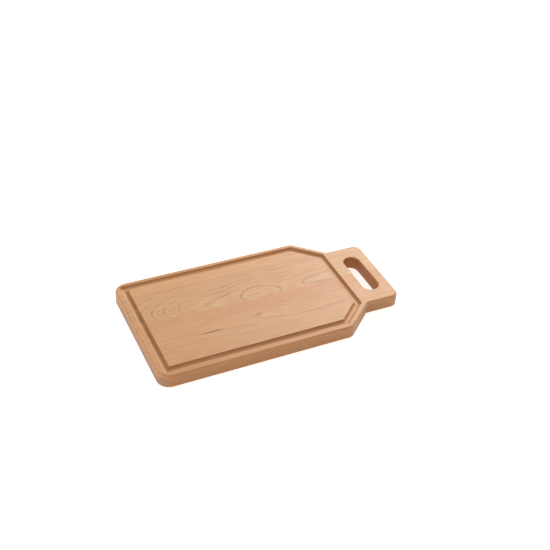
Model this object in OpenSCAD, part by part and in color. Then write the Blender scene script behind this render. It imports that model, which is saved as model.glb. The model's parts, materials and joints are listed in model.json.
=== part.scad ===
// Cutting board with a hand slot and a juice groove, glued up from four long staves.
// +X points to the handle, +Y to the board's left and +Z up. The origin is on the underside,
// half way along the length and on the centre line. All sizes are in millimetres.

/* [Board] */
// Whole length, from the plain end to the end of the handle
board_length = 371; // [330:1:450]
// Width across the two long sides
board_width = 200; // [164:1:260]
// Thickness of the board
board_thickness = 21; // [14:0.5:32]
// Radius of the two corners at the plain end, seen from above
end_corner_r = 18; // [8:0.5:24]
// Radius of the rounding run along every top and bottom edge of the outline
edge_r = 3.5; // [1:0.25:4.5]

/* [Handle] */
// Length of the handle, from the foot of its shoulders to its end
handle_length = 52.5; // [46:0.5:70]
// Width of the handle
handle_width = 126; // [104:1:152]
// Radius of the two corners at the handle's end, seen from above
handle_corner_r = 11.5; // [6:0.5:16]
// Length over which the sloping shoulders narrow the board
shoulder_length = 42; // [30:1:60]
// Radius where each long side turns into its shoulder
shoulder_r = 13.5; // [5:0.5:16]
// Radius of the inner corner where each shoulder runs into the handle
neck_r = 5; // [3:0.5:8]

/* [Hand slot] */
// Length of the slot over its two round ends
slot_length = 78; // [60:0.5:98]
// Width of the slot
slot_width = 24; // [18:0.5:30]
// Distance from the handle's end to the middle of the slot
slot_setback = 29; // [26:0.5:38]
// Radius of the rounding run along the slot's top and bottom edges
slot_edge_r = 1.75; // [1:0.25:4.5]

/* [Juice groove] */
// Width of the level rim left between the outline and the groove
groove_margin = 7.5; // [6:0.25:12]
// Diameter of the round-nosed cutter that makes the groove
groove_bit_d = 11; // [8:0.5:14]
// Depth of the groove below the board's top
groove_depth = 4; // [2:0.25:5]

/* [Staves] */
// Distance of the middle glue line from the centre line, to the left
middle_joint_y = 3; // [-8:0.5:8]
// Width of the right core stave, which lies to the right of the middle glue line
right_core_w = 61; // [54:0.5:64]
// Distance that the left glue line lies outside the line of the handle's side
left_joint_outset = 2; // [1.5:0.5:6]
// Thickness of the cured glue between two staves
glue_t = 0.15; // [0.1:0.05:0.3]

/* [Hidden] */
$fn = 96;

// How far each cutter runs past the face that it cuts
over = 1;
// How far a straight rounding cut runs on past an outward corner
run_out = 2;
// Angle at which an arc in plan crosses the sides that it joins, which keeps their meeting clean
crossing = 3;
// Angle at which a rounded edge crosses the faces beside it
section_crossing = 5;
// How much wider the groove's corners are than its runs, where the cutter turned
corner_dwell = 0.05;

// Lengthwise stations: plain end, start and foot of the shoulders, handle's end, slot's middle
end_x = -board_length / 2;
tip_x = board_length / 2;
neck_x = tip_x - handle_length;
shoulder_x = neck_x - shoulder_length;
slot_x = tip_x - slot_setback;

half_w = board_width / 2;
handle_half_w = handle_width / 2;

// Corners of the board's outline, anticlockwise from above, before they are rounded
OUTLINE = [
    [end_x, -half_w],
    [shoulder_x, -half_w],
    [neck_x, -handle_half_w],
    [tip_x, -handle_half_w],
    [tip_x, handle_half_w],
    [neck_x, handle_half_w],
    [shoulder_x, half_w],
    [end_x, half_w]
];
OUTLINE_R = [
    end_corner_r,
    shoulder_r,
    neck_r,
    handle_corner_r,
    handle_corner_r,
    neck_r,
    shoulder_r,
    end_corner_r
];

// The slot's two straight walls run between the centres of its round ends
slot_half_w = slot_width / 2;
slot_end_y = slot_length / 2 - slot_half_w;
slot_end_r = slot_half_w / cos(crossing);

// The groove follows the cutting field, which is the outline without its handle
FIELD = [
    [end_x, -half_w],
    [shoulder_x, -half_w],
    [neck_x, -handle_half_w],
    [neck_x, handle_half_w],
    [shoulder_x, half_w],
    [end_x, half_w]
];
groove_r = groove_bit_d / 2;
groove_half_w = sqrt(groove_r * groove_r - (groove_r - groove_depth) * (groove_r - groove_depth));
groove_z = board_thickness - groove_depth + groove_r;
GROOVE = [for (i = [0 : len(FIELD) - 1]) inset_corner(FIELD, i, groove_margin + groove_half_w)];

// Sideways stations of the middles of the glue lines
right_joint_y = middle_joint_y - right_core_w;
left_joint_y = handle_half_w + left_joint_outset;

// Closed paths: each corner's neighbours, each side's direction, and each corner's turn
function next_of(path, i) = path[(i + 1) % len(path)];
function last_of(path, i) = path[(i + len(path) - 1) % len(path)];
function side_dir(path, i) = (next_of(path, i) - path[i]) / norm(next_of(path, i) - path[i]);
function side_in_dir(path, i) = (path[i] - last_of(path, i)) / norm(path[i] - last_of(path, i));
function to_left(v) = [-v.y, v.x];
function heading(v) = atan2(v.y, v.x);
function cross_of(u, v) = u.x * v.y - u.y * v.x;
function turn(path, i) =
    atan2(
        cross_of(side_in_dir(path, i), side_dir(path, i)),
        side_in_dir(path, i) * side_dir(path, i)
    );
function outward(path, i) = turn(path, i) > 0;

// Where a corner lands when both of its sides move to the left by the same distance
function inset_corner(path, i, distance) =
    path[i] + distance * (to_left(side_in_dir(path, i)) + to_left(side_dir(path, i)))
    / (1 + side_in_dir(path, i) * side_dir(path, i));

// A corner's arc: its centre, and the points nearest to it on the corner's two sides
function arc_centre(path, i, r) = inset_corner(path, i, sign(turn(path, i)) * r * cos(crossing));
function arc_reach(path, i, r) = r * cos(crossing) * tan(abs(turn(path, i)) / 2);
function arc_foot_in(path, i, r) = path[i] - side_in_dir(path, i) * arc_reach(path, i, r);
function arc_foot_out(path, i, r) = path[i] + side_dir(path, i) * arc_reach(path, i, r);

// Plan with square outward corners, and with each inward corner filled up to a straight web
module webbed_plan(path, radii) {
    polygon([
        for (i = [0 : len(path) - 1])
            each outward(path, i)
                ? [path[i]]
                : [arc_foot_in(path, i, radii[i]), arc_foot_out(path, i, radii[i])]
    ]);
}

// Plan of the waste that rounds one corner
module corner_waste(path, i, r) {
    centre = arc_centre(path, i, r);
    if (outward(path, i))
        difference() {
            polygon([
                centre,
                centre - to_left(side_in_dir(path, i)) * (r + over),
                inset_corner(path, i, -over),
                centre - to_left(side_dir(path, i)) * (r + over)
            ]);
            translate(centre) circle(r = r);
        }
    else
        translate(centre) circle(r = r);
}

// Plan of the hand slot
module slot_plan() {
    translate([slot_x - slot_half_w, -slot_end_y]) square([slot_width, 2 * slot_end_y]);
    for (end_y = [-slot_end_y, slot_end_y])
        translate([slot_x, end_y]) circle(r = slot_end_r);
}

// The board sawn to shape, with square edges
module sawn_board() {
    linear_extrude(board_thickness)
        difference() {
            webbed_plan(OUTLINE, OUTLINE_R);
            for (i = [0 : len(OUTLINE) - 1])
                corner_waste(OUTLINE, i, OUTLINE_R[i]);
            slot_plan();
        }
}

// Section of the waste that a rounding cutter takes off a square edge. The edge is at the
// origin, with the wood towards +X and -Y.
module rounding_section(r) {
    centre = r * cos(section_crossing);
    difference() {
        translate([-over, -centre]) square([centre + over, centre + over]);
        translate([centre, -centre]) circle(r = r);
    }
}

// Waste along a straight edge, with the wood to the left of the way from start to stop
module side_rounding(start, stop, r) {
    translate(start)
        rotate([90, 0, 90 + heading(stop - start)])
            linear_extrude(norm(stop - start)) rounding_section(r);
}

// Waste round an arc, with the wood inside it or, where it is hollow, outside it
module arc_rounding(centre, arc_r, first, sweep, hollow, r) {
    translate(centre)
        rotate([0, 0, first])
            rotate_extrude(angle = sweep)
                translate([arc_r, 0]) mirror([hollow ? 0 : 1, 0]) rounding_section(r);
}

// Waste along the straight sides of the outline and of the slot. A cut runs on past an outward
// corner, and stops at the foot of an inward one.
module straight_roundings() {
    for (i = [0 : len(OUTLINE) - 1]) {
        j = (i + 1) % len(OUTLINE);
        beyond = side_dir(OUTLINE, i) * run_out;
        side_rounding(
            outward(OUTLINE, i) ? OUTLINE[i] - beyond : arc_foot_out(OUTLINE, i, OUTLINE_R[i]),
            outward(OUTLINE, j) ? OUTLINE[j] + beyond : arc_foot_in(OUTLINE, j, OUTLINE_R[j]),
            edge_r
        );
    }
    for (side = [-1, 1])
        side_rounding(
            [slot_x + side * slot_half_w, side * slot_end_y],
            [slot_x + side * slot_half_w, -side * slot_end_y],
            slot_edge_r
        );
}

// Waste round the arcs of the outline and of the slot
module arc_roundings() {
    for (i = [0 : len(OUTLINE) - 1]) {
        centre = arc_centre(OUTLINE, i, OUTLINE_R[i]);
        first = heading(side_in_dir(OUTLINE, i));
        sweep = turn(OUTLINE, i);
        if (outward(OUTLINE, i))
            arc_rounding(centre, OUTLINE_R[i], first - 90, sweep, false, edge_r);
        else
            arc_rounding(
                centre,
                OUTLINE_R[i],
                first + 90 + sweep - 2 * crossing,
                4 * crossing - sweep,
                true,
                edge_r
            );
    }
    for (side = [-1, 1])
        arc_rounding(
            [slot_x, side * slot_end_y],
            slot_end_r,
            90 * side - 90 - 2 * crossing,
            180 + 4 * crossing,
            true,
            slot_edge_r
        );
}

// The same waste at the board's top and, turned over, at its bottom
module top_and_bottom() {
    translate([0, 0, board_thickness]) children();
    mirror([0, 0, 1]) children();
}

// The board with its edges rounded, the straight ones first
module rounded_board() {
    difference() {
        difference() {
            sawn_board();
            top_and_bottom() straight_roundings();
        }
        top_and_bottom() arc_roundings();
    }
}

// The cutter's way along one run of the groove
module groove_run(i) {
    translate([GROOVE[i].x, GROOVE[i].y, groove_z])
        rotate([0, 90, heading(side_dir(GROOVE, i))])
            cylinder(r = groove_r, h = norm(next_of(GROOVE, i) - GROOVE[i]));
}

// The board with its groove: first the corners, then every other run, then the runs between
module grooved_board() {
    difference() {
        difference() {
            difference() {
                rounded_board();
                for (corner = GROOVE)
                    translate([corner.x, corner.y, groove_z]) sphere(r = groove_r + corner_dwell);
            }
            for (i = [0 : 2 : len(GROOVE) - 1]) groove_run(i);
        }
        for (i = [1 : 2 : len(GROOVE) - 1]) groove_run(i);
    }
}

// The strip of the finished board between two sideways stations
module board_strip(from_y, to_y) {
    intersection() {
        grooved_board();
        translate([end_x - over, from_y, -over])
            cube([board_length + 2 * over, to_y - from_y, board_thickness + 2 * over]);
    }
}

module glue_line(joint_y) {
    board_strip(joint_y - glue_t / 2, joint_y + glue_t / 2);
}

module right_edge_stave() {
    color("#d3a279") board_strip(-half_w - over, right_joint_y - glue_t / 2);
}

module right_core_stave() {
    color("#d9a785") board_strip(right_joint_y + glue_t / 2, middle_joint_y - glue_t / 2);
}

module left_core_stave() {
    color("#dcab84") board_strip(middle_joint_y + glue_t / 2, left_joint_y - glue_t / 2);
}

module left_edge_stave() {
    color("#dcae80") board_strip(left_joint_y + glue_t / 2, half_w + over);
}

module right_glue_line() {
    color("#a8794f") glue_line(right_joint_y);
}

module middle_glue_line() {
    color("#a8794f") glue_line(middle_joint_y);
}

module left_glue_line() {
    color("#a8794f") glue_line(left_joint_y);
}

right_edge_stave();
right_core_stave();
left_core_stave();
left_edge_stave();
right_glue_line();
middle_glue_line();
left_glue_line();
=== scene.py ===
"""Edge-glued cherry cutting board with a hand slot and a juice groove, on a pale floor.

The board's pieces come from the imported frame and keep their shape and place. This script gives
them their wood, and adds the floor, the lights and the camera. Lengths are in metres, except in
the wood's figure, which is laid out in millimetres from the board's own origin.
"""

import json
import math

import bpy
from mathutils import Matrix, Vector


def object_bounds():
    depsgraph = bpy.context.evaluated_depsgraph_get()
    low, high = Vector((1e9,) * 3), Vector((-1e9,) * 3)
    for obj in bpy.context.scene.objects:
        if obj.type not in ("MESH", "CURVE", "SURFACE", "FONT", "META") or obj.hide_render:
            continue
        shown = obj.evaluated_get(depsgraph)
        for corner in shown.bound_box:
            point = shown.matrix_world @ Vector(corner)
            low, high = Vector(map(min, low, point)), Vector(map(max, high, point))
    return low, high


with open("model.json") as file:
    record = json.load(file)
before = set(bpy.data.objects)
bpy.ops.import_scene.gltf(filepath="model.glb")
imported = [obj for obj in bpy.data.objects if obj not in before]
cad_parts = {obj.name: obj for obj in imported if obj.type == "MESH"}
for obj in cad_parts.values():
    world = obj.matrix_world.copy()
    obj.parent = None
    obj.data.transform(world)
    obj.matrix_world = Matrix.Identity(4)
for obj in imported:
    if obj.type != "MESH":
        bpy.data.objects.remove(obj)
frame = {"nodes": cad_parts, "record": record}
cad_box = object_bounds()
low, high = cad_box

# Millimetres in a metre, and the places on the board that the wood's figure is tied to: the top, the
# line where the long rims begin outside the groove, and the middle of the hand slot
MM = 1000
TOP = high.z * MM
RIM = high.y * MM - 7
SLOT = Vector(next(m["pos_m"] for m in frame["record"]["mounts"] if m["name"] == "hand_slot")) * MM


def linear(code):
    """Gives the linear colour, with alpha, of an sRGB hex code."""
    channels = [int(code[i:i + 2], 16) / 255 for i in (1, 3, 5)]
    return tuple(c / 12.92 if c <= 0.04045 else ((c + 0.055) / 1.055) ** 2.4 for c in channels) + (1,)


def add(tree, kind, inputs=None, stops=None, **settings):
    """Adds a node. Its inputs are values or other nodes' sockets, and its stops are a ramp's or
    a curve's points."""
    node = tree.nodes.new("ShaderNode" + kind)
    for name, value in settings.items():
        setattr(node, name, value)
    for key, value in (inputs or {}).items():
        if isinstance(value, bpy.types.NodeSocket):
            tree.links.new(value, node.inputs[key])
        else:
            node.inputs[key].default_value = value
    if stops and kind == "FloatCurve":
        node.mapping.use_clip = False
        points = node.mapping.curves[0].points
        for place, value in stops[1:-1]:
            points.new(place, value)
        for point, (place, value) in zip(points, stops):
            point.location = (place, value)
        node.mapping.update()
    elif stops:
        ramp = node.color_ramp.elements
        for place, value in stops[1:-1]:
            ramp.new(place)
        for element, (place, value) in zip(ramp, stops):
            element.position = place
            element.color = (value, value, value, 1)
    return node


# ---------------------------------------------------------------- wood

# Cherry, planed, sanded to a fine grit and lightly oiled. It looks like a pale salmon wood with
# soft brown ring lines and a silky, low shine. Browner tones are painted on the routed and sanded
# edges as shade: browner than the faces in the groove and on the upper edges, duller down the
# sides, greyest where they cut across the grain, where the grey is partly the end grain's own
# colour and partly painted shade, and deepest brown inside the hand slot.
RING_TONE = "#92501b"
# Painted shade: the browner colour of the groove's walls and the upper edges, also laid faintly on
# the long rims
GROOVE_SHADE_AND_RIM_TONE = "#b06e33"
# Painted shade: the duller colour lower down the sides
SIDE_SHADE_TONE = "#a06b3c"
# Where the sides cut across the grain: partly the end grain's own greyer colour, partly painted shade
END_GRAIN_AND_SHADE_TONE = "#83634d"
# Painted shade: the deepest brown on the walls of the hand slot, a recess
SLOT_SHADE_TONE = "#9f611c"
MARK_TONE = "#7a3c08"

# How the trunk lies in each stave, all in millimetres. At stations along the board, "depth" is how
# far under the top the rings' middle lies, and "middle" is its place across the board. Where the
# middle rises or sinks, the top cuts through one ring after another and shows arches, lenses and
# eyes. "rings" counts the rings out from the middle, and a brown line ends each one. The lines are
# clearest at "clearest" to the side of the middle, and "faded" is what is left of them far from
# there. "strength" is how strong they are, and "sway" is how far they stray, in rings. Each of the
# "marks" has its place along and across the board, half its length, half its width and how dark it
# is. "seed" sets the stave's own noises. Its colour drifts between "face" and "drift", and pales to
# "early" before each line.
WOODS = {
    "left_core_stave": {
        "name": "flat-sawn cherry, arched figure",
        "early": "#cea273",
        "face": "#cc9a6c",
        "drift": "#c89367",
        "seed": 3.7,
        "depth": [
            (-186, 60), (-157, 52), (-140, 47), (-133, 44.8), (-119, 42), (-112, 39.4),
            (-104, 37.8), (-90, 36.6), (-79, 36), (-70, 35.6), (-60, 35.1), (-50, 34.4),
            (-40, 33.3), (-29, 31.6), (-15, 28.6), (-4, 27), (10, 27.3), (20, 29.2), (28, 30.5),
            (34, 31.5), (42, 32.3), (50, 32.5), (60, 32), (68, 31.4), (80, 30.9), (95, 30.5),
            (112, 30.1), (186, 29.5),
        ],
        "middle": [
            (-186, 17), (-112, 15), (-79, 11), (10, 11), (30, 8.5), (50, 9.5), (68, 11), (112, 12),
            (186, 14),
        ],
        "rings": [
            (0, 12), (16, 16), (27, 19), (32, 20), (37, 21), (42, 22), (47, 23), (52, 24), (56, 25),
            (62, 26), (66, 27), (73, 28), (90, 31),
        ],
        "clearest": 0,
        "faded": 0.5,
        "strength": 1.7,
        "sway": 0.35,
        "marks": [
            (-4, 11.5, 2.6, 2.0, 0.28),
            (29, 14, 4, 1.8, 0.18),
            (-34, 10, 2.4, 1.6, 0.2),
            (68, 10, 3, 2, 0.12),
            (75, 60, 5, 2.5, 0.12),
            (-171.5, 22, 4.5, 14, 0.32),
            (-172, 60, 4.5, 30, 0.12),
        ],
    },
    "right_core_stave": {
        "name": "flat-sawn cherry, wavy figure",
        "early": "#cd9b6b",
        "face": "#cb9668",
        "drift": "#c78f62",
        "seed": 8.2,
        "depth": [
            (-186, 48.3), (-66, 48), (-27, 47), (-10, 45.8), (10, 45), (60, 44.3), (80, 44.3),
            (112, 45.2), (186, 46),
        ],
        "middle": [(-186, -12), (-165, -13.5), (-66, -22.5), (-19, -31), (60, -34), (186, -36)],
        "rings": [
            (10, 14), (29, 17), (35, 18), (42, 19), (47, 20), (52, 21), (58, 22), (62, 23), (70, 24),
            (90, 28),
        ],
        "clearest": -16,
        "faded": 0.08,
        "strength": 1.0,
        "sway": 1,
        "marks": [
            (2.5, -10.5, 1.8, 1.1, 0.4),
            (2, -18.5, 1.6, 1.1, 0.34),
            (23, -16, 3.0, 1.4, 0.55),
            (-19, -30, 5.0, 3.4, 0.22),
            (-91.5, -40.5, 18, 1.2, 0.9),
            (-172, -20, 4.5, 45, 0.16),
        ],
    },
    "left_edge_stave": {
        "name": "straight-grained cherry, pale",
        "early": "#d3a272",
        "face": "#cf9b6a",
        "drift": "#cb9463",
        "seed": 1.3,
        "depth": [(-186, 62), (0, 58), (186, 62)],
        "middle": [(-186, -8), (0, -4), (186, -10)],
        "rings": [
            (20, -5), (34, 1), (40, 2), (44, 3), (48, 4), (53, 5), (57, 6), (64, 7), (67, 8),
            (73, 9), (80, 11), (120, 20),
        ],
        "clearest": 60,
        "faded": 0.6,
        "strength": 0.3,
        "sway": 1,
        "marks": [],
    },
    "right_edge_stave": {
        "name": "straight-grained cherry, warm",
        "early": "#cf9d6d",
        "face": "#ca9566",
        "drift": "#c58e5f",
        "seed": 5.9,
        "depth": [(-186, 56), (-60, 58), (60, 54), (186, 55)],
        "middle": [(-186, 8), (-66, -4), (-19, -11), (60, -14), (186, -16)],
        "rings": [
            (20, -5), (34, 1), (40, 2), (45, 3), (51, 4), (55, 5), (61, 6), (66, 7), (73, 8),
            (77, 9), (84, 10), (120, 17),
        ],
        "clearest": -50,
        "faded": 0.6,
        "strength": 0.45,
        "sway": 1,
        "marks": [],
    },
}


# In rings: where in a ring its brown line lies, and how far to each side the line fades out where the
# top cuts square across the rings
LINE_AT = 0.85
LINE_REACH = 0.68
# The rise of the radius never counts as less than this, so that a line doesn't vanish where the top
# runs exactly along the rings
LEAST_RISE = 0.07
# In millimetres: how far from their clearest place the lines stay clear, how far off they are faded,
# the step over which the slope of the rings' middle is measured, and how high the fibres stand
CLEAR_WITHIN = 9
FADED_BEYOND = 28
STEP = 2
FIBRE_HEIGHT = 0.05


def grain_noises(tree, wood, place):
    """Noises that lie along the grain, each with its length and width in millimetres: the slow
    wander of the rings, their fine ripple, the fibres and the drift of the colour. Real fibres are
    a few hundredths of a millimetre wide. They are drawn as bundles, coarse enough to show."""
    noises = {}
    for part, length, width, detail in (
        ("wander", 120, 26, 1),
        ("ripple", 38, 6, 3),
        ("fibres", 30, 1.5, 3),
        ("drift", 150, 40, 1),
    ):
        stretched = add(
            tree,
            "VectorMath",
            {0: place, 1: (1 / length, 1 / width, 1 / width)},
            operation="MULTIPLY",
        ).outputs[0]
        noises[part] = add(
            tree,
            "TexNoise",
            {"Vector": stretched, "W": wood["seed"], "Scale": 1, "Detail": detail},
            noise_dimensions="4D",
        ).outputs["Fac"]
    return noises


def place_in_trunk(tree, wood, axes):
    """How far a point lies to the side of the rings' middle, how far out from it, and how much
    that radius rises for each millimetre over the board's top."""
    depth = add(tree, "FloatCurve", {"Value": axes[0]}, stops=wood["depth"]).outputs[0]
    middle = add(tree, "FloatCurve", {"Value": axes[0]}, stops=wood["middle"]).outputs[0]
    sideways = add(tree, "Math", {0: axes[1], 1: middle}, operation="SUBTRACT").outputs[0]
    height = add(tree, "Math", {0: axes[2], 1: TOP}, operation="SUBTRACT").outputs[0]
    height = add(tree, "Math", {0: height, 1: depth}, operation="ADD").outputs[0]
    across = add(tree, "CombineXYZ", {0: sideways, 1: height}).outputs[0]
    radius = add(tree, "VectorMath", {0: across}, operation="LENGTH").outputs["Value"]

    further = add(tree, "Math", {0: axes[0], 1: STEP}, operation="ADD").outputs[0]
    further = add(tree, "FloatCurve", {"Value": further}, stops=wood["depth"]).outputs[0]
    rise_along = add(tree, "Math", {0: further, 1: depth}, operation="SUBTRACT").outputs[0]
    rise_along = add(tree, "Math", {0: rise_along, 1: STEP}, operation="DIVIDE").outputs[0]
    rise_across = add(tree, "Math", {0: sideways, 1: radius}, operation="DIVIDE").outputs[0]
    rise = add(tree, "CombineXYZ", {0: rise_along, 1: rise_across}).outputs[0]
    rise = add(tree, "VectorMath", {0: rise}, operation="LENGTH").outputs["Value"]
    rise = add(tree, "Math", {0: rise, 1: LEAST_RISE}, operation="MAXIMUM").outputs[0]
    return sideways, radius, rise


def swaying_rings(tree, wood, radius, noises):
    """Counts the rings from their middle out to a point, with their sway."""
    rings = add(tree, "FloatCurve", {"Value": radius}, stops=wood["rings"]).outputs[0]
    for part, swing in (("wander", wood["sway"]), ("ripple", 0.4 * wood["sway"])):
        offset = add(tree, "MapRange", {0: noises[part], 3: -swing / 2, 4: swing / 2}).outputs[0]
        rings = add(tree, "Math", {0: rings, 1: offset}, operation="ADD").outputs[0]
    return rings


def knots_and_scorches(tree, wood, place, rings):
    """Pin knots, a gum streak and the cutter's scorch marks across the grain in the groove, each an
    ellipsoid at the top. Gives how dark they make a point, and the rings, which swell a little
    round each one."""
    reach_down = 8
    darkness = 0
    for along, sideways, half_length, half_width, strength in wood["marks"]:
        scale = Vector((1 / half_length, 1 / half_width, 1 / reach_down))
        offset = -scale * Vector((along, sideways, TOP))
        away = add(
            tree, "VectorMath", {0: place, 1: scale, 2: offset}, operation="MULTIPLY_ADD"
        ).outputs[0]
        away = add(tree, "VectorMath", {0: away}, operation="LENGTH").outputs["Value"]
        spot = add(
            tree,
            "MapRange",
            {0: away, 1: 0.3, 2: 1.3, 3: strength, 4: 0},
            interpolation_type="SMOOTHSTEP",
        ).outputs[0]
        darkness = add(tree, "Math", {0: darkness, 1: spot}, operation="MAXIMUM").outputs[0]
        swell = add(
            tree,
            "MapRange",
            {0: away, 1: 0.5, 2: 5, 3: 0.35 * strength, 4: 0},
            interpolation_type="SMOOTHSTEP",
        ).outputs[0]
        rings = add(tree, "Math", {0: rings, 1: swell}, operation="SUBTRACT").outputs[0]
    return darkness, rings


def fading_sideways(tree, wood, sideways):
    """How clear the rings are: fully at the clearest place, and less to both sides of it."""
    spread = add(tree, "Math", {0: sideways, 1: wood["clearest"]}, operation="SUBTRACT").outputs[0]
    spread = add(tree, "Math", {0: spread}, operation="ABSOLUTE").outputs[0]
    return add(
        tree,
        "MapRange",
        {0: spread, 1: CLEAR_WITHIN, 2: FADED_BEYOND, 3: 1, 4: wood["faded"]},
    ).outputs[0]


def ring_vigour(tree, wood, along, rings, fading, noises):
    """How strong each ring's line is. Some rings are stronger than others, each is patchy along
    its length, and all are faint in the handle."""
    number = add(tree, "Math", {0: rings}, operation="FLOOR").outputs[0]
    vigour = add(tree, "TexWhiteNoise", {"W": number}, noise_dimensions="1D").outputs["Value"]
    vigour = add(tree, "MapRange", {0: vigour, 3: 0.7, 4: 1}).outputs[0]
    calm = add(
        tree,
        "MapRange",
        {0: along, 1: SLOT.x - 60, 2: SLOT.x - 15, 3: 0.3 * wood["strength"], 4: 0.12},
    ).outputs[0]
    patchy = add(
        tree, "MapRange", {0: noises["ripple"], 1: 0.35, 2: 0.65, 3: 0.4, 4: 1.3}
    ).outputs[0]
    for factor in (fading, calm, patchy):
        vigour = add(tree, "Math", {0: vigour, 1: factor}, operation="MULTIPLY").outputs[0]
    return vigour


def brown_lines(tree, fraction, rise, vigour, fibres):
    """The brown line that ends each ring, with the streaks of the fibres. Where the top runs nearly
    along the rings their lines would smear out, so a line's width is counted on the top, by the
    rise of the radius."""
    gap = add(tree, "Math", {0: fraction, 1: LINE_AT}, operation="SUBTRACT").outputs[0]
    gap = add(tree, "Math", {0: gap}, operation="ABSOLUTE").outputs[0]
    gap = add(tree, "Math", {0: gap, 1: rise}, operation="DIVIDE").outputs[0]
    line = add(
        tree,
        "MapRange",
        {0: gap, 2: LINE_REACH, 3: 1, 4: 0},
        interpolation_type="SMOOTHSTEP",
    ).outputs[0]
    line = add(tree, "Math", {0: line, 1: vigour}, operation="MULTIPLY").outputs[0]
    streaks = add(tree, "MapRange", {0: fibres, 1: 0.3, 2: 0.7, 3: -0.14, 4: 0.25}).outputs[0]
    return add(tree, "Math", {0: line, 1: streaks}, operation="ADD").outputs[0]


def face_colour(tree, wood, fraction, fading, drift):
    """The colour of the planed face, which drifts slowly and pales before each ring's line."""
    drift = add(tree, "MapRange", {0: drift, 1: 0.35, 2: 0.65}).outputs[0]
    colour = add(
        tree,
        "Mix",
        {"Factor": drift, 6: linear(wood["face"]), 7: linear(wood["drift"])},
        data_type="RGBA",
    ).outputs[2]
    pale = add(
        tree,
        "ValToRGB",
        {0: fraction},
        stops=[(0, 0.6), (0.3, 0.2), (0.5, 0.4), (0.72, 1), (0.88, 0.7), (1, 0.6)],
    ).outputs[0]
    pale = add(tree, "Math", {0: pale, 1: fading}, operation="MULTIPLY").outputs[0]
    return add(
        tree, "Mix", {"Factor": pale, 6: colour, 7: linear(wood["early"])}, data_type="RGBA"
    ).outputs[2]


def near_slot(tree, place):
    """Is 1 on the walls and edges of the hand slot, and falls to 0 towards the board's edges."""
    away = add(
        tree, "VectorMath", {0: place, 1: (SLOT.x, 0, SLOT.z)}, operation="SUBTRACT"
    ).outputs[0]
    away = add(tree, "VectorMath", {0: away, 1: (1, 0.3, 0.1)}, operation="MULTIPLY").outputs[0]
    away = add(tree, "VectorMath", {0: away}, operation="LENGTH").outputs["Value"]
    return add(tree, "MapRange", {0: away, 1: 19, 2: 15.5}).outputs[0]


def edge_shade_and_browner_rims(tree, place, axes, normal, colour):
    """Lays the browner tones over the face's colour on all that doesn't face straight up or down, as
    painted shade: one in the groove and on the upper edges, and others lower down the sides, where
    the sides cut across the grain, and in the slot. Where the sides cut across the grain the tone is
    partly the end grain's own greyer colour. The long rims take them too, more faintly."""
    facing = add(tree, "SeparateXYZ", {0: normal}).outputs
    level = add(tree, "Math", {0: facing[2]}, operation="ABSOLUTE").outputs[0]
    # Painted shade: the further a face tilts from level, the more of the browner tones it takes
    tilt_shade = add(tree, "MapRange", {0: level, 1: 0.95, 2: 0.3}).outputs[0]
    endwise = add(tree, "Math", {0: facing[0]}, operation="ABSOLUTE").outputs[0]
    endwise = add(tree, "MapRange", {0: endwise, 1: 0.3, 2: 0.75}).outputs[0]
    side = add(tree, "MapRange", {0: axes[2], 1: TOP - 2.5, 2: TOP - 5}).outputs[0]
    # Painted shade on the slot's walls, strongest inside the slot
    slot_shade = near_slot(tree, place)
    edge_colour = linear(SIDE_SHADE_TONE)
    for factor, tone in ((endwise, END_GRAIN_AND_SHADE_TONE), (slot_shade, SLOT_SHADE_TONE)):
        edge_colour = add(
            tree, "Mix", {"Factor": factor, 6: edge_colour, 7: linear(tone)}, data_type="RGBA"
        ).outputs[2]
    side = add(tree, "Math", {0: side, 1: slot_shade}, operation="MAXIMUM").outputs[0]
    edge_colour = add(
        tree, "Mix", {"Factor": side, 6: linear(GROOVE_SHADE_AND_RIM_TONE), 7: edge_colour}, data_type="RGBA"
    ).outputs[2]
    cover = add(tree, "MapRange", {0: side, 3: 0.6, 4: 0.8}).outputs[0]
    cover = add(tree, "Math", {0: cover, 1: tilt_shade}, operation="MULTIPLY").outputs[0]
    rim = add(tree, "Math", {0: axes[1]}, operation="ABSOLUTE").outputs[0]
    rim = add(tree, "MapRange", {0: rim, 1: RIM - 7, 2: RIM, 4: 0.22}).outputs[0]
    cover = add(tree, "Math", {0: cover, 1: rim}, operation="MAXIMUM").outputs[0]
    return add(
        tree, "Mix", {"Factor": cover, 6: colour, 7: edge_colour}, data_type="RGBA"
    ).outputs[2]


def silky_finish(tree, shader, fibres):
    """Sets the shine, which the fibres break up, and lets them stand a little."""
    roughness = add(tree, "MapRange", {0: fibres, 3: 0.46, 4: 0.6}).outputs[0]
    tree.links.new(roughness, shader.inputs["Roughness"])
    bump = add(
        tree, "Bump", {"Height": fibres, "Strength": 0.25, "Distance": FIBRE_HEIGHT / MM}
    ).outputs[0]
    tree.links.new(bump, shader.inputs["Normal"])
    shader.inputs["IOR"].default_value = 1.5
    shader.inputs["Specular IOR Level"].default_value = 0.42


def new_material(name):
    """A new material, with its node tree and its shader."""
    material = bpy.data.materials.new(name)
    material.use_nodes = True
    tree = material.node_tree
    return material, tree, tree.nodes["Principled BSDF"]


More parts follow.
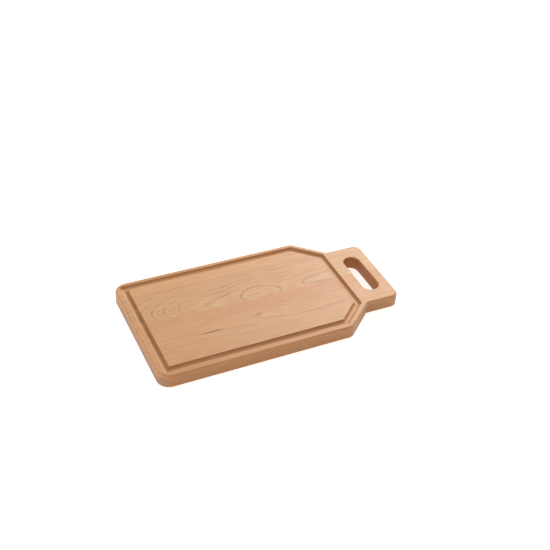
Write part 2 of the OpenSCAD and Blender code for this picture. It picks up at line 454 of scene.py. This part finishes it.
def sanded_cherry(wood):
    """One stave's wood. The figure is worked out in millimetres on the board."""
    material, tree, shader = new_material(wood["name"])
    coordinates = add(tree, "TexCoord").outputs
    place = add(
        tree, "VectorMath", {0: coordinates["Object"], 1: (MM, MM, MM)}, operation="MULTIPLY"
    ).outputs[0]
    axes = add(tree, "SeparateXYZ", {0: place}).outputs
    noises = grain_noises(tree, wood, place)

    sideways, radius, rise = place_in_trunk(tree, wood, axes)
    rings = swaying_rings(tree, wood, radius, noises)
    darkness, rings = knots_and_scorches(tree, wood, place, rings)
    fraction = add(tree, "Math", {0: rings}, operation="FRACT").outputs[0]
    fading = fading_sideways(tree, wood, sideways)
    vigour = ring_vigour(tree, wood, axes[0], rings, fading, noises)
    line = brown_lines(tree, fraction, rise, vigour, noises["fibres"])

    colour = face_colour(tree, wood, fraction, fading, noises["drift"])
    colour = edge_shade_and_browner_rims(tree, place, axes, coordinates["Normal"], colour)
    for factor, tone in ((line, RING_TONE), (darkness, MARK_TONE)):
        colour = add(
            tree, "Mix", {"Factor": factor, 6: colour, 7: linear(tone)}, data_type="RGBA"
        ).outputs[2]
    tree.links.new(colour, shader.inputs["Base Color"])
    silky_finish(tree, shader, noises["fibres"])
    return material


def cured_glue():
    """Wood glue, set hard in a tight joint and sanded flush: a thin brown line with some shine,
    paler and darker in patches about 12 mm long."""
    patch = 12
    material, tree, shader = new_material("wood glue, cured and sanded")
    place = add(tree, "TexCoord").outputs["Object"]
    noise = add(
        tree, "TexNoise", {"Vector": place, "Scale": MM / patch, "Detail": 2}
    ).outputs["Fac"]
    colour = add(
        tree,
        "Mix",
        {"Factor": noise, 6: linear("#a8794f"), 7: linear("#c39468")},
        data_type="RGBA",
    ).outputs[2]
    tree.links.new(colour, shader.inputs["Base Color"])
    shader.inputs["Roughness"].default_value = 0.4
    return material


def give(node_name, material):
    """Puts the material in the slots of the board's piece."""
    for slot in frame["nodes"][node_name].material_slots:
        slot.material = material


for name, wood in WOODS.items():
    give(name, sanded_cherry(wood))
glue = cured_glue()
for name in ("right_glue_line", "middle_glue_line", "left_glue_line"):
    give(name, glue)

# ---------------------------------------------------------------- floor, lights and camera


def frosted_acrylic():
    """Acrylic sheet, frosted and lit from below: an even white, dull, that leaves only a faint
    shadow where the board stands."""
    material, _, shader = new_material("white acrylic, frosted and lit from below")
    shader.inputs["Base Color"].default_value = linear("#f2f2f2")
    shader.inputs["Roughness"].default_value = 0.9
    shader.inputs["Specular IOR Level"].default_value = 0.2
    shader.inputs["Emission Color"].default_value = linear("#ffffff")
    shader.inputs["Emission Strength"].default_value = 0.68
    return material


bpy.ops.object.select_all(action="DESELECT")
bpy.ops.mesh.primitive_plane_add(size=12, location=(0, 0, low.z))
floor = bpy.context.object
floor.name = "floor"
floor.data.materials.append(frosted_acrylic())


def white_surroundings(strength):
    """An even white light from all round, as in a studio with white walls."""
    world = bpy.data.worlds.new("studio")
    world.use_nodes = True
    background = world.node_tree.nodes["Background"]
    background.inputs["Color"].default_value = (1, 1, 1, 1)
    background.inputs["Strength"].default_value = strength
    bpy.context.scene.world = world


def softbox(name, place, size, power):
    """A square light that is turned towards the board."""
    light = bpy.data.lights.new(name, "AREA")
    light.shape = "SQUARE"
    light.size = size
    light.energy = power
    lamp = bpy.data.objects.new(name, light)
    lamp.location = place
    lamp.rotation_euler = (-Vector(place)).to_track_quat("-Z", "Y").to_euler()
    bpy.context.scene.collection.objects.link(lamp)


white_surroundings(strength=0.52)
softbox("key_light", place=(1.2, 1.2, 1.3), size=0.8, power=39)
softbox("fill_light", place=(-1.3, -0.1, 0.12), size=0.5, power=7)


def aimed_camera(azimuth, elevation, roll, distance, aim, focal_length):
    """A camera that looks down at a point from a distance. Its azimuth is counted from -Y towards
    +X, and its roll turns it anticlockwise, as seen from behind it."""
    back = Vector((
        math.sin(azimuth) * math.cos(elevation),
        -math.cos(azimuth) * math.cos(elevation),
        math.sin(elevation),
    ))
    right = (-back).cross(Vector((0, 0, 1))).normalized()
    up = right.cross(-back)
    rolled_right = right * math.cos(roll) + up * math.sin(roll)
    rolled_up = up * math.cos(roll) - right * math.sin(roll)
    camera_data = bpy.data.cameras.new("camera")
    camera_data.lens = focal_length
    camera_data.sensor_width = 36
    camera = bpy.data.objects.new("camera", camera_data)
    bpy.context.scene.collection.objects.link(camera)
    turn = Matrix((rolled_right, rolled_up, back)).transposed().to_4x4()
    camera.matrix_world = Matrix.Translation(aim + back * distance) @ turn
    bpy.context.scene.camera = camera


aimed_camera(
    azimuth=math.radians(-27.459),
    elevation=math.radians(38.275),
    roll=math.radians(4.1),
    distance=1.4227,
    aim=Vector((0.05, 0.0635, 0)),
    focal_length=63.38,
)
bpy.context.scene.view_settings.view_transform = "Standard"
